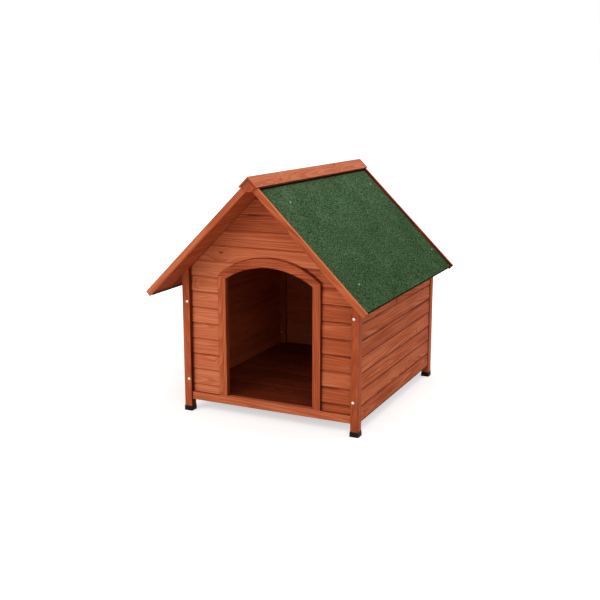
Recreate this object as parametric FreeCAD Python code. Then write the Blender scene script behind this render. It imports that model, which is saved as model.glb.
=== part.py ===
"""Timber dog house: a framed and boarded hut on four posts with an arched
doorway, a pitched roof of felted panels, and a capped ridge beam.

Frame: X to the right, Y towards the back, Z up, millimetres.  The origin is
on the ground, under the middle of the overall length and width.  Everything
is drawn about the middle of the four posts and moved to the origin at the end.
"""
import FreeCAD, Part
import math
import os
from FreeCAD import Vector

# ---------------------------------------------------------------- dimensions
# Corner posts and feet
frame_width = 774.0          # over the posts, side to side
frame_depth = 913.0          # over the posts, front to back
post_size = 33.0             # square posts
foot_height = 21.0           # push-on plastic foot
foot_floor = 3.0             # thickness under the post
foot_collar_wall = 1.3
foot_base_wall = 2.3
foot_base_height = 11.0
foot_corner_radius = 3.0

# Framing timber between the posts
rail_bottom = 49.0           # ground to the underside of the bottom rails
rail_height = 34.0
frame_thickness = 25.0       # rails, door jambs, arch and gable rafters
frame_setback = 8.0          # front of the rails behind the front of the posts
arris = 1.2                  # planed edges in view are broken by this much
rafter_depth = 33.0
cleat_width = 28.0           # upright cleats at the ends of the side walls
cleat_thickness = 20.0

# Lap boards
course_bottom = 52.5         # underside of the lowest course
course_pitch = 65.0          # cover of one board
board_butt = 9.0             # thickness at the lower edge
board_top = 5.5              # thickness one pitch higher
least_course = 12.0          # a narrower rest is left on the board below it
lap_height = 6.0             # tongue behind the next board
lap_thickness = 3.5
lap_clearance = 0.4
butt_chamfer = 1.0
gable_board_setback = 19.0   # butts behind the outer face of the posts, ends
side_board_setback = 3.5     # the same on the side walls
groove_depth = 6.0           # boards housed in the posts, rails and trim
groove_clearance = 0.3
eaves_clearance = 4.0        # side walls end below the deck

# Doorway
door_width = 380.0
door_spring_height = 571.0   # ground to the foot of the arch
arch_rise = 57.0             # crown of the arch above its foot
jamb_width = 34.0
arch_crown_width = 37.0
arch_joint_rise = 12.0       # the joint under the arch climbs outwards

# Floor
floor_thickness = 12.0
floor_board_count = 9
floor_gap = 0.6
floor_edge_clearance = 0.5
bearer_width = 33.0
bearer_depth = 22.0

# Roof, measured down the slope and square to it from the top of the verge
roof_pitch = 44.5            # degrees
roof_apex = 983.5            # ground to where the two roof planes meet
eaves_overhang = 82.32       # end of the verge boards past the posts
front_overhang = 135.5       # verge board past the front of the posts
rear_overhang = 38.5
verge_depth = 24.5
verge_thickness = 12.0
felt_recess = 11.0           # felt below the top of the verge boards
felt_thickness = 2.5
felt_drip = 16.0             # turned down over the eaves edge
felt_bend_radius = 4.0
deck_thickness = 8.0
deck_margin = 8.0            # deck ends short of the verge boards' ends

# Ridge
beam_face = 42.0             # sloping face of the ridge beam
beam_depth = 25.0
beam_front_projection = 10.0
beam_rear_projection = 4.0
cap_width = 48.0
cap_thickness = 6.0
cap_projection = 2.0         # cap strips past the ends of the beam

# Fasteners
bolt_diameter = 6.0
bolt_head_diameter = 13.0
bolt_head_height = 3.6
bolt_inset = 22.5            # from the outer face of the post
bolt_heights = (137.0, 465.0)
bolt_hole_clearance = 0.4
bolt_tail = 2.0
nut_width = 10.0             # across the flats
nut_thickness = 5.0
roof_screw_diameter = 4.0
roof_screw_length = 30.0
roof_screw_head_diameter = 9.0
roof_screw_head_top = 4.6
roof_screw_head_height = 2.4
roof_screw_side_count = 12   # sides of a shank and of its pilot hole
head_side_count = 20         # sides of the round heads
roof_screw_side_inset = 8.84  # from the side face of the post, at the felt
roof_screw_low_inset = 12.0  # from the front or back face of the post
roof_screw_high_slope = 130.0
roof_screw_high_inset = 7.0  # from the back of the gable boards

# ------------------------------------------------------------- derived sizes
half_width = frame_width / 2
half_depth = frame_depth / 2
post_inner_x = half_width - post_size
post_inner_y = half_depth - post_size
rail_top = rail_bottom + rail_height
door_crown_height = door_spring_height + arch_rise

gable_board_front = -half_depth + gable_board_setback
gable_board_back = gable_board_front + board_butt
side_board_back = half_width - side_board_setback - board_butt
cleat_inner_x = side_board_back - cleat_width
cleat_inner_y = post_inner_y - cleat_thickness

frame_front = -half_depth + frame_setback
frame_back = frame_front + frame_thickness

floor_top = rail_top
floor_bottom = floor_top - floor_thickness

slope = math.radians(roof_pitch)
slope_length = (half_width + eaves_overhang) / math.cos(slope)
felt_bottom = felt_recess + felt_thickness
soffit = felt_bottom + deck_thickness
deck_end = slope_length - deck_margin
roof_front = -half_depth - front_overhang
roof_rear = half_depth + rear_overhang
panel_front = roof_front + verge_thickness
panel_rear = roof_rear - verge_thickness
beam_front = roof_front - beam_front_projection
beam_rear = roof_rear + beam_rear_projection
ridge_front = beam_front - cap_projection
ridge_rear = beam_rear + cap_projection
body_shift = -(ridge_front + ridge_rear) / 2

roof_screw_low_x = half_width - roof_screw_side_inset
roof_screw_low_slope = roof_screw_low_x / math.cos(slope) + felt_recess * math.tan(slope)


# ------------------------------------------------------------------- helpers
def roof_point(down, below):
    """(x, z) on the right slope: down it from the ridge, and square below it."""
    x = down * math.cos(slope) - below * math.sin(slope)
    z = roof_apex - down * math.sin(slope) - below * math.cos(slope)
    return x, z


def roof_height(x, below):
    """Height of the plane that lies `below` the roof plane, at a place x."""
    return roof_apex - abs(x) * math.tan(slope) - below / math.cos(slope)


def roof_width(z, below):
    """Half width of the space under that plane at a height z."""
    return (roof_apex - below / math.cos(slope) - z) / math.tan(slope)


def box(x0, x1, y0, y1, z0, z1):
    return Part.makeBox(x1 - x0, y1 - y0, z1 - z0, Vector(x0, y0, z0))


def across(outline, y0, y1):
    """Extrude an (x, z) outline from y0 to y1."""
    corners = [Vector(x, y0, z) for x, z in outline]
    wire = Part.makePolygon(corners + corners[:1])
    return Part.Face(wire).extrude(Vector(0, y1 - y0, 0))


def along(outline, x0, x1):
    """Extrude a (y, z) outline from x0 to x1."""
    corners = [Vector(x0, y, z) for y, z in outline]
    wire = Part.makePolygon(corners + corners[:1])
    return Part.Face(wire).extrude(Vector(x1 - x0, 0, 0))


def mirror_x(shape):
    return shape.mirror(Vector(0, 0, 0), Vector(1, 0, 0))


def mirror_y(shape):
    return shape.mirror(Vector(0, 0, 0), Vector(0, 1, 0))


def both_sides(shape):
    return [shape, mirror_x(shape)]


def group(solids):
    return Part.makeCompound(solids)


def single(shape):
    """The one solid that a cut leaves."""
    return shape.Solids[0]


def ease(solid, *points):
    """Chamfer the edges of a solid that pass through some (x, y, z) points."""
    marks = [Part.Vertex(*point) for point in points]
    edges = [
        e for e in solid.Edges
        if any(e.distToShape(mark)[0] < 0.01 for mark in marks)
    ]
    return solid.makeChamfer(arris, edges)


# ------------------------------------------------------------ posts and feet
def bolt_axes(diameter):
    """Upright pair of cylinders along Y through the front right corner."""
    x = half_width - bolt_inset
    length = post_size + cleat_thickness
    start = -half_depth
    return group([
        Part.makeCylinder(diameter / 2, length, Vector(x, start, z), Vector(0, 1, 0))
        for z in bolt_heights
    ])


def corner_post():
    """Front right post: head cut to the roof, grooved for the gable boards."""
    outline = [
        (post_inner_x, foot_floor),
        (half_width, foot_floor),
        (half_width, roof_height(half_width, soffit)),
        (post_inner_x, roof_height(post_inner_x, soffit)),
    ]
    post = ease(
        across(outline, -half_depth, -post_inner_y),
        (post_inner_x, -half_depth, rail_top),
        (half_width, -half_depth, rail_top),
        (half_width, -post_inner_y, rail_top),
    )
    groove = box(
        post_inner_x, post_inner_x + groove_depth,
        gable_board_front - groove_clearance, gable_board_back,
        rail_top - groove_depth, roof_apex,
    )
    post = post.cut(groove)
    post = post.cut(bolt_axes(bolt_diameter + bolt_hole_clearance))
    return single(post.cut(roof_screw_shanks()))


def foot_cap():
    """Front right plastic foot: a stepped square cup pushed onto the post."""
    x = half_width - post_size / 2
    y = -half_depth + post_size / 2
    base_half = post_size / 2 + foot_base_wall
    collar_half = post_size / 2 + foot_collar_wall
    base = box(x - base_half, x + base_half, y - base_half, y + base_half,
               0, foot_base_height)
    upright = [e for e in base.Edges if e.Vertexes[0].Z != e.Vertexes[1].Z]
    base = base.makeFillet(foot_corner_radius, upright)
    collar = box(x - collar_half, x + collar_half, y - collar_half, y + collar_half,
                 foot_base_height, foot_height)
    socket = box(post_inner_x, half_width, -half_depth, -post_inner_y,
                 foot_floor, foot_height)
    return single(base.fuse(collar).cut(socket))


# --------------------------------------------------------------- gable walls
def gable_field():
    """(x, z) outline of the boards of an end wall, into every groove."""
    edge = post_inner_x + groove_depth
    foot = rail_top - groove_depth
    beam_bottom = roof_point(beam_face, beam_depth)[1]
    head = roof_width(beam_bottom, soffit)
    return [
        (-edge, foot),
        (edge, foot),
        (edge, roof_height(edge, soffit)),
        (head, beam_bottom),
        (-head, beam_bottom),
        (-edge, roof_height(edge, soffit)),
    ]


def board_section(base, head, rebated, tongued):
    """(thickness, z) outline of one lap board that lies flat on its back."""
    taper = (board_butt - board_top) * (head - base) / course_pitch
    if rebated:
        lower = [
            (0, base + lap_height + lap_clearance),
            (lap_thickness + lap_clearance, base + lap_height + lap_clearance),
            (lap_thickness + lap_clearance, base),
        ]
    else:
        lower = [(0, base)]
    face = [
        (board_butt - butt_chamfer, base),
        (board_butt, base + butt_chamfer),
        (board_butt - taper, head),
    ]
    if tongued:
        upper = [
            (lap_thickness, head),
            (lap_thickness, head + lap_height),
            (0, head + lap_height),
        ]
    else:
        upper = [(0, head)]
    return lower + face + upper


def board_sections(top):
    """Outlines of the courses that fill a wall up to a height."""
    count = math.ceil((top - course_bottom - least_course) / course_pitch)
    sections = []
    for i in range(count):
        base = course_bottom + course_pitch * i
        last = i == count - 1
        head = top if last else base + course_pitch
        sections.append(board_section(base, head, i > 0, not last))
    return sections


def gable_boards(hole=None):
    """Boards of an end wall, from the bottom up; a hole may part a course."""
    field = gable_field()
    top = max(z for x, z in field)
    wall = across(field, gable_board_front, gable_board_back)
    if hole:
        wall = wall.cut(hole)
    edge = post_inner_x + groove_depth
    boards = []
    for section in board_sections(top):
        outline = [(gable_board_back - t, z) for t, z in section]
        boards += along(outline, -edge, edge).common(wall).Solids
    return boards


def bottom_rail(hole=None):
    """Rail between two posts, grooved along its top for the boards."""
    rail = box(-post_inner_x, post_inner_x, frame_front, frame_back,
               rail_bottom, rail_top)
    rail = ease(rail, (0, frame_front, rail_bottom), (0, frame_front, rail_top))
    groove = box(-post_inner_x, post_inner_x,
                 gable_board_front - groove_clearance, gable_board_back,
                 rail_top - groove_depth, rail_top)
    if hole:
        groove = groove.cut(hole)
    return single(rail.cut(groove))


def gable_rafter():
    """Front right rafter behind the boards, from the cleat to the ridge."""
    beam_bottom = roof_point(beam_face, beam_depth)[1]
    lower = soffit + rafter_depth
    outline = [
        (cleat_inner_x, roof_height(cleat_inner_x, soffit)),
        (roof_width(beam_bottom, soffit), beam_bottom),
        (0, beam_bottom),
        (0, roof_height(0, lower)),
        (cleat_inner_x, roof_height(cleat_inner_x, lower)),
    ]
    rafter = across(outline, gable_board_back, gable_board_back + frame_thickness)
    return single(rafter.cut(roof_screw_shanks()))


# ------------------------------------------------------------------- doorway
def arc_through(half_span, foot, crown):
    """Centre height and radius of an arc over a span."""
    rise = crown - foot
    radius = (half_span ** 2 + rise ** 2) / (2 * rise)
    return crown - radius, radius


jamb_outer_x = door_width / 2 + jamb_width
arch_outer_crown = door_crown_height + arch_crown_width
arch_outer_foot = door_spring_height + arch_joint_rise
outer_centre, outer_radius = arc_through(jamb_outer_x, arch_outer_foot, arch_outer_crown)


def trim_hole(inset):
    """Prism inside the outer edge of the door trim, drawn in by an inset."""
    x = jamb_outer_x - inset
    radius = outer_radius - inset
    foot = outer_centre + math.sqrt(radius ** 2 - x ** 2)
    crown = outer_centre + radius
    y = frame_front - post_size
    start = Vector(-x, y, foot)
    end = Vector(x, y, foot)
    arch = Part.Arc(start, Vector(0, y, crown), end).toShape()
    sill = rail_bottom
    sides = Part.makePolygon([end, Vector(x, y, sill), Vector(-x, y, sill), start])
    wire = Part.Wire([arch] + sides.Edges)
    return Part.Face(wire).extrude(Vector(0, 3 * post_size, 0))


def trim_groove():
    """What the board groove takes off the outer edges of the door trim."""
    slab = box(-half_width, half_width,
               gable_board_front - groove_clearance, gable_board_back,
               rail_top, roof_apex)
    return slab.cut(trim_hole(groove_depth))


def door_jamb():
    """Right jamb: stands on the rail, its head cut for the arch."""
    inner = door_width / 2
    jamb_mid_height = (rail_top + door_spring_height) / 2
    outline = [
        (inner, rail_top),
        (jamb_outer_x, rail_top),
        (jamb_outer_x, arch_outer_foot),
        (inner, door_spring_height),
    ]
    jamb = ease(
        across(outline, frame_front, frame_back),
        (inner, frame_front, jamb_mid_height),
        (jamb_outer_x, frame_front, jamb_mid_height),
    )
    return single(jamb.cut(trim_groove()))


def door_arch():
    """Curved head of the doorway, sawn from one wide board."""
    inner = door_width / 2
    y = frame_front
    left_inner = Vector(-inner, y, door_spring_height)
    right_inner = Vector(inner, y, door_spring_height)
    left_outer = Vector(-jamb_outer_x, y, arch_outer_foot)
    right_outer = Vector(jamb_outer_x, y, arch_outer_foot)
    under = Part.Arc(left_inner, Vector(0, y, door_crown_height), right_inner)
    over = Part.Arc(right_outer, Vector(0, y, arch_outer_crown), left_outer)
    wire = Part.Wire([
        under.toShape(),
        Part.makeLine(right_inner, right_outer),
        over.toShape(),
        Part.makeLine(left_outer, left_inner),
    ])
    arch = ease(
        Part.Face(wire).extrude(Vector(0, frame_thickness, 0)),
        (0, frame_front, door_crown_height),
        (0, frame_front, arch_outer_crown),
    )
    return single(arch.cut(trim_groove()))


# ---------------------------------------------------------------- side walls
def side_boards():
    """Boards of the right wall, from the bottom up."""
    top = roof_height(half_width - side_board_setback, soffit) - eaves_clearance
    boards = []
    for section in board_sections(top):
        outline = [(side_board_back + t, z) for t, z in section]
        boards.append(across(outline, -post_inner_y, post_inner_y))
    return boards


def side_cleat():
    """Front right cleat: the side boards' ends are nailed to it."""
    outline = [
        (cleat_inner_x, course_bottom),
        (side_board_back, course_bottom),
        (side_board_back, roof_height(side_board_back, soffit)),
        (cleat_inner_x, roof_height(cleat_inner_x, soffit)),
    ]
    cleat = ease(
        across(outline, -post_inner_y, -cleat_inner_y),
        (cleat_inner_x, -cleat_inner_y, rail_top),
    )
    return single(cleat.cut(bolt_axes(bolt_diameter + bolt_hole_clearance)))


# --------------------------------------------------------------------- floor
def floor_ledger():
    """Right ledger: carries the floor boards along the side wall."""
    return box(cleat_inner_x, side_board_back, -cleat_inner_y, cleat_inner_y,
               course_bottom, floor_bottom)


def floor_bearer():
    """Middle bearer between the front and back rails."""
    return box(-bearer_width / 2, bearer_width / 2, frame_back, -frame_back,
               floor_bottom - bearer_depth, floor_bottom)


def floor_boards():
    """Floor boards side to side, notched round the cleats at the corners."""
    edge = side_board_back - floor_edge_clearance
    front = frame_back + floor_edge_clearance
    pitch = -2 * front / floor_board_count
    notch = box(cleat_inner_x - floor_edge_clearance, half_width,
                -half_depth, -cleat_inner_y + floor_edge_clearance,
                floor_bottom, floor_top)
    notches = both_sides(notch) + both_sides(mirror_y(notch))
    boards = []
    for i in range(floor_board_count):
        y0 = front + pitch * i + floor_gap / 2
        y1 = front + pitch * (i + 1) - floor_gap / 2
        board = box(-edge, edge, y0, y1, floor_bottom, floor_top)
        board = ease(board, (0, y0, floor_top), (0, y1, floor_top))
        boards.append(single(board.cut(group(notches))))
    return group(boards)


# ---------------------------------------------------------------------- roof
def roof_section(corners):
    """(x, z) outline from corners given as (down the slope, below it)."""
    return [roof_point(down, below) for down, below in corners]


def roof_deck():
    """Right deck board, from the ridge beam to the eaves."""
    outline = roof_section([
        (beam_face, felt_bottom),
        (deck_end, felt_bottom),
        (deck_end, soffit),
        (beam_face, soffit),
    ])
    return single(across(outline, panel_front, panel_rear).cut(roof_screw_shanks()))


def roof_felt():
    """Right felt sheet: flat on the deck, bent down over its eaves edge."""
    outer_end = deck_end + felt_thickness
    drip_end = felt_recess + felt_drip
    outline = roof_section([
        (beam_face, felt_recess),
        (outer_end, felt_recess),
        (outer_end, drip_end),
        (deck_end, drip_end),
        (deck_end, felt_bottom),
        (beam_face, felt_bottom),
    ])
    felt = across(outline, panel_front, panel_rear)
    bend_x, bend_z = roof_point(outer_end, felt_recess)
    bend = [
        e for e in felt.Edges
        if abs(e.CenterOfMass.x - bend_x) < 0.01 and abs(e.CenterOfMass.z - bend_z) < 0.01
    ]
    felt = felt.makeFillet(felt_bend_radius, bend)
    return single(felt.cut(roof_screw_shanks()))


def verge_board(y0, y1):
    """Right verge board, from the ridge beam down past the eaves."""
    outline = roof_section([
        (beam_face, 0),
        (slope_length, 0),
        (slope_length, verge_depth),
        (beam_face, verge_depth),
    ])
    mid = (beam_face + slope_length) / 2
    upper_x, upper_z = roof_point(mid, 0)
    lower_x, lower_z = roof_point(mid, verge_depth)
    return ease(
        across(outline, y0, y1),
        (upper_x, y0, upper_z),
        (upper_x, y1, upper_z),
        (lower_x, y0, lower_z),
        (lower_x, y1, lower_z),
    )


def ridge_beam():
    """Five-sided beam between the two roof panels."""
    right = roof_section([(beam_face, 0), (beam_face, beam_depth)])
    left = [(-x, z) for x, z in reversed(right)]
    lower_x, lower_z = right[1]
    return ease(
        across([(0, roof_apex)] + right + left, beam_front, beam_rear),
        (lower_x, 0, lower_z),
        (-lower_x, 0, lower_z),
    )


def ridge_cap():
    """Right cap strip, mitred along the ridge and lapping over the felt."""
    outline = [
        (0, roof_apex),
        roof_point(cap_width, 0),
        roof_point(cap_width, -cap_thickness),
        (0, roof_height(0, -cap_thickness)),
    ]
    edge_x, edge_z = roof_point(cap_width, -cap_thickness)
    return ease(across(outline, ridge_front, ridge_rear), (edge_x, 0, edge_z))


# ----------------------------------------------------------------- fasteners
def inward():
    """Direction square to the right roof slope, into the roof."""
    return Vector(-math.sin(slope), 0, -math.cos(slope))


def downhill():
    """Direction down the right roof slope."""
    return Vector(math.cos(slope), 0, -math.sin(slope))


def on_roof(down, below, y):
    x, z = roof_point(down, below)
    return Vector(x, y, z)


def ring(centre, across_ring, up_ring, diameter, flats):
    """Many-sided wire round a centre, in the plane of two unit vectors."""
    step = 2 * math.pi / flats
    radius = diameter / 2
    corners = [
        centre + across_ring * (radius * math.cos(step * i))
        + up_ring * (radius * math.sin(step * i))
        for i in range(flats)
    ]
    return Part.makePolygon(corners + corners[:1])


def round_head(seat, across_head, up_head, rings):
    """Head that stands on a seat, through rings of (height, diameter)."""
    outward = across_head.cross(up_head)
    wires = [
        ring(seat + outward * height, across_head, up_head, diameter, head_side_count)
        for height, diameter in rings
    ]
    return Part.makeLoft(wires, True, True)


def dome_rings(diameter, height):
    """Heights and diameters of a low dome, up to a small flat on top."""
    radius = ((diameter / 2) ** 2 + height ** 2) / (2 * height)
    levels = [0, 0.45 * height, 0.8 * height, 0.97 * height]
    return [
        (level, 2 * math.sqrt(radius ** 2 - (radius - height + level) ** 2))
        for level in levels
    ]


def roof_screw_sites():
    """(down the slope, y) of the four screws of the right panel."""
    low = half_depth - roof_screw_low_inset
    high = -gable_board_back - roof_screw_high_inset
    return [
        (roof_screw_low_slope, -low),
        (roof_screw_low_slope, low),
        (roof_screw_high_slope, -high),
        (roof_screw_high_slope, high),
    ]


def roof_screw_shank(seat):
    """Shank from its seat on the felt into the wood, as a many-sided bar."""
    wire = ring(seat, downhill(), Vector(0, 1, 0), roof_screw_diameter, roof_screw_side_count)
    return Part.Face(wire).extrude(inward() * roof_screw_length)


def roof_screw_shanks():
    return group([
        roof_screw_shank(on_roof(down, felt_recess, y))
        for down, y in roof_screw_sites()
    ])


def roof_screws():
    """Pan-headed screws of the right panel, seated on the felt."""
    screws = []
    for down, y in roof_screw_sites():
        seat = on_roof(down, felt_recess, y)
        head = round_head(seat, downhill(), Vector(0, 1, 0), [
            (0, roof_screw_head_diameter),
            (roof_screw_head_height, roof_screw_head_top),
        ])
        screws.append(single(roof_screw_shank(seat).fuse(head)))
    return screws


def post_bolts():
    """Dome-headed bolts through the front right post and cleat."""
    x = half_width - bolt_inset
    length = post_size + cleat_thickness + nut_thickness + bolt_tail
    bolts = []
    for z in bolt_heights:
        seat = Vector(x, -half_depth, z)
        shank = Part.makeCylinder(bolt_diameter / 2, length, seat, Vector(0, 1, 0))
        head = round_head(seat, Vector(1, 0, 0), Vector(0, 0, 1),
                          dome_rings(bolt_head_diameter, bolt_head_height))
        bolts.append(single(shank.fuse(head)))
    return bolts


def bolt_nuts():
    """Hexagonal nuts on the inner face of the front right cleat."""
    x = half_width - bolt_inset
    y = -cleat_inner_y
    corner = nut_width / math.sqrt(3)
    nuts = []
    for z in bolt_heights:
        outline = [
            (x + corner * math.cos(math.radians(60 * i)),
             z + corner * math.sin(math.radians(60 * i)))
            for i in range(6)
        ]
        nut = across(outline, y, y + nut_thickness)
        bore = Part.makeCylinder(bolt_diameter / 2, nut_thickness,
                                 Vector(x, y, z), Vector(0, 1, 0))
        nuts.append(single(nut.cut(bore)))
    return nuts


# ------------------------------------------------------------------ assembly
def export(name, shape):
    placed = shape.copy()
    placed.translate(Vector(0, body_shift, 0))
    placed.exportStep("parts/" + name + ".step")


def export_corners(name, shape):
    """A piece of the front right corner, and its three mirror images."""
    export(name + "_front_right", shape)
    export(name + "_front_left", mirror_x(shape))
    export(name + "_rear_right", mirror_y(shape))
    export(name + "_rear_left", mirror_x(mirror_y(shape)))


def export_sides(name, shape):
    export(name + "_right", shape)
    export(name + "_left", mirror_x(shape))


def four_corners(solids):
    """The fasteners of one corner at all four."""
    front = [piece for solid in solids for piece in both_sides(solid)]
    return group(front + [mirror_y(piece) for piece in front])


def export_front_boards():
    """Front boards: two stacks beside the doorway, and those across above it."""
    boards = gable_boards(trim_hole(groove_depth))
    left = [board for board in boards if board.BoundBox.XMax < 0]
    right = [board for board in boards if board.BoundBox.XMin > 0]
    above = [board for board in boards if board.BoundBox.XMin < 0 < board.BoundBox.XMax]
    export("front_boards_left", group(left))
    export("front_boards_right", group(right))
    export("gable_boards", group(above))


os.makedirs("parts", exist_ok=True)

export_corners("post", corner_post())
export_corners("foot_cap", foot_cap())
export_corners("side_cleat", side_cleat())
export_corners("gable_rafter", gable_rafter())

export("front_bottom_rail", bottom_rail(trim_hole(groove_depth)))
export("rear_bottom_rail", mirror_y(bottom_rail()))
export_sides("door_jamb", door_jamb())
export("door_arch", door_arch())
export_front_boards()
export("rear_boards", group([mirror_y(board) for board in gable_boards()]))

for number, board in enumerate(side_boards()):
    export("side_board_right_{:02d}".format(number + 1), board)
export("side_boards_left", group([mirror_x(board) for board in side_boards()]))

export_sides("floor_ledger", floor_ledger())
export("floor_bearer", floor_bearer())
export("floor_boards", floor_boards())

export_sides("roof_deck", roof_deck())
export_sides("roof_felt", roof_felt())
export_sides("front_verge", verge_board(roof_front, panel_front))
export_sides("rear_verge", verge_board(panel_rear, roof_rear))
export("ridge_beam", ridge_beam())
export_sides("ridge_cap", ridge_cap())

export("post_bolts", four_corners(post_bolts()))
export("bolt_nuts", four_corners(bolt_nuts()))
export("roof_screws", group([
    piece for screw in roof_screws() for piece in both_sides(screw)
]))
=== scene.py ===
import math

import bmesh
import bpy
from mathutils import Matrix, Vector


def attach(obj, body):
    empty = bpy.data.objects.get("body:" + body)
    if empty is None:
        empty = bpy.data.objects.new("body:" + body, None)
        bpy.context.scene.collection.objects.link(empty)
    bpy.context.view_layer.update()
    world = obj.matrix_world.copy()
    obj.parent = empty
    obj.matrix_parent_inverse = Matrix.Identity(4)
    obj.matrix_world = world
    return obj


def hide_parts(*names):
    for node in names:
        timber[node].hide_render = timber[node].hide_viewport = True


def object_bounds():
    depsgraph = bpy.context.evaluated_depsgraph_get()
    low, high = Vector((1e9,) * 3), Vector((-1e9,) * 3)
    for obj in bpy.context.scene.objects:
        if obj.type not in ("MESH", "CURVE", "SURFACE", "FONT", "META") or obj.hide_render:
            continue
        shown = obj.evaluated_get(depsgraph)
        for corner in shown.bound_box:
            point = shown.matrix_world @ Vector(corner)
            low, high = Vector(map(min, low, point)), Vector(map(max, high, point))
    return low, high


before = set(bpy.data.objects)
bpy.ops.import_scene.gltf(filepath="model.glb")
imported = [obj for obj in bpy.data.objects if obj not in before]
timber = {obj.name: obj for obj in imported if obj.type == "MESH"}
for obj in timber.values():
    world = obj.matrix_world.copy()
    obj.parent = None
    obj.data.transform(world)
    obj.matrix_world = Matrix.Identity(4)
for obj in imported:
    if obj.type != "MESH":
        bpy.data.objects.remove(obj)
cad_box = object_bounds()


# ------------------------------------------------------------- ground and light
# The house stands on plain pale ground that runs out of sight.  Two broad soft
# lamps stand before it, one to its right and one above, and the sky fills in.
HOUSE_MIDDLE = Vector((0.0, 0.0515, 0.0))
CAMERA_PLACE = (1.617, -3.5205, 1.275)
WHITE = (1, 1, 1, 1)

bpy.context.scene.view_settings.view_transform = "Standard"
camera_data = bpy.data.cameras.new("camera")
camera_data.lens = 55.48
camera_data.sensor_width = 36.0
camera_data.clip_end = 60.0
camera = bpy.data.objects.new("camera", camera_data)
bpy.context.scene.collection.objects.link(camera)
bpy.context.scene.camera = camera
camera_back = Vector((0.4180, -0.8830, 0.2146)).normalized()
camera_right = Vector((0, 0, 1)).cross(camera_back).normalized()
camera_up = camera_back.cross(camera_right)
camera.matrix_world = Matrix.Translation(CAMERA_PLACE) @ Matrix(
    (camera_right, camera_up, camera_back)
).transposed().to_4x4()


def seen_or_mirrored(nodes, links):
    """1 for rays from the eye, off a gloss or through glass, else 0."""
    path = nodes.new("ShaderNodeLightPath")
    seen = path.outputs["Is Camera Ray"]
    for kind in ("Is Glossy Ray", "Is Transmission Ray"):
        either = nodes.new("ShaderNodeMath")
        either.operation = "MAXIMUM"
        links.new(seen, either.inputs[0])
        links.new(path.outputs[kind], either.inputs[1])
        seen = either.outputs[0]
    return seen


world = bpy.data.worlds.new("studio")
bpy.context.scene.world = world
world.use_nodes = True
nodes, links = world.node_tree.nodes, world.node_tree.links
nodes.clear()
sky_light = nodes.new("ShaderNodeBackground")
sky_light.inputs["Color"].default_value = (0.96, 0.98, 1.0, 1)
sky_light.inputs["Strength"].default_value = 0.30
backdrop = nodes.new("ShaderNodeBackground")
backdrop.inputs["Color"].default_value = WHITE
backdrop.inputs["Strength"].default_value = 1.0
which = nodes.new("ShaderNodeMixShader")
world_out = nodes.new("ShaderNodeOutputWorld")
links.new(seen_or_mirrored(nodes, links), which.inputs[0])
links.new(sky_light.outputs[0], which.inputs[1])
links.new(backdrop.outputs[0], which.inputs[2])
links.new(which.outputs[0], world_out.inputs["Surface"])

# The ground keeps the house's soft shadow near it and is plain white far off.
NEAR_GROUND, FAR_GROUND = 0.8, 2.4
NEAR_LIFT, FAR_LIFT = 0.56, 1.0
GROUND_REACH = 30

ground_paint = bpy.data.materials.new("pale_ground")
ground_paint.use_nodes = True
nodes, links = ground_paint.node_tree.nodes, ground_paint.node_tree.links
nodes.clear()
matt = nodes.new("ShaderNodeBsdfDiffuse")
matt.inputs["Color"].default_value = (0.78, 0.77, 0.76, 1)
position = nodes.new("ShaderNodeNewGeometry")
from_house = nodes.new("ShaderNodeVectorMath")
from_house.operation = "LENGTH"
far_off = nodes.new("ShaderNodeMapRange")
far_off.interpolation_type = "SMOOTHSTEP"
for socket, value in zip(
    far_off.inputs[1:], (NEAR_GROUND, FAR_GROUND, NEAR_LIFT, FAR_LIFT)
):
    socket.default_value = value
lift = nodes.new("ShaderNodeEmission")
lift.inputs["Color"].default_value = WHITE
links.new(position.outputs["Position"], from_house.inputs[0])
links.new(from_house.outputs["Value"], far_off.inputs[0])
links.new(far_off.outputs[0], lift.inputs["Strength"])
lifted = nodes.new("ShaderNodeAddShader")
which = nodes.new("ShaderNodeMixShader")
ground_out = nodes.new("ShaderNodeOutputMaterial")
links.new(matt.outputs[0], lifted.inputs[0])
links.new(lift.outputs[0], lifted.inputs[1])
links.new(seen_or_mirrored(nodes, links), which.inputs[0])
links.new(matt.outputs[0], which.inputs[1])
links.new(lifted.outputs[0], which.inputs[2])
links.new(which.outputs[0], ground_out.inputs["Surface"])

ground_corners = [
    (x * GROUND_REACH, y * GROUND_REACH, 0) for x, y in ((-1, -1), (1, -1), (1, 1), (-1, 1))
]
ground_mesh = bpy.data.meshes.new("ground")
ground_mesh.from_pydata(ground_corners, [], [(0, 1, 2, 3)])
ground_mesh.materials.append(ground_paint)
ground = bpy.data.objects.new("ground", ground_mesh)
bpy.context.scene.collection.objects.link(ground)


def soft_lamp(name, place, aim, width, height, watts, colour):
    """A rectangular lamp that faces a point of the house."""
    data = bpy.data.lights.new(name, "AREA")
    data.shape = "RECTANGLE"
    data.size, data.size_y = width, height
    data.energy = watts
    data.color = colour
    lamp = bpy.data.objects.new(name, data)
    bpy.context.scene.collection.objects.link(lamp)
    lamp.location = place
    lamp.rotation_mode = "QUATERNION"
    lamp.rotation_quaternion = (Vector(aim) - Vector(place)).to_track_quat("-Z", "Y")


soft_lamp("front_lamp", (-1.35, -2.9, 1.75), (0, -0.3, 0.4), 2.4, 2.1, 52, (1, 0.98, 0.96))
soft_lamp("fill_lamp", (1.5, -2.8, 2.5), (0, -0.3, 0.5), 2.0, 1.8, 32, (1, 0.98, 0.96))
soft_lamp("right_lamp", (3.8, 1.7, 1.5), (0, 0.1, 0.45), 2.4, 2.2, 36, (1, 0.98, 0.95))
soft_lamp("top_lamp", (0.95, 0.35, 3.3), (0.1, 0.05, 0.7), 2.2, 2.2, 31, (1, 1, 1))


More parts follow.
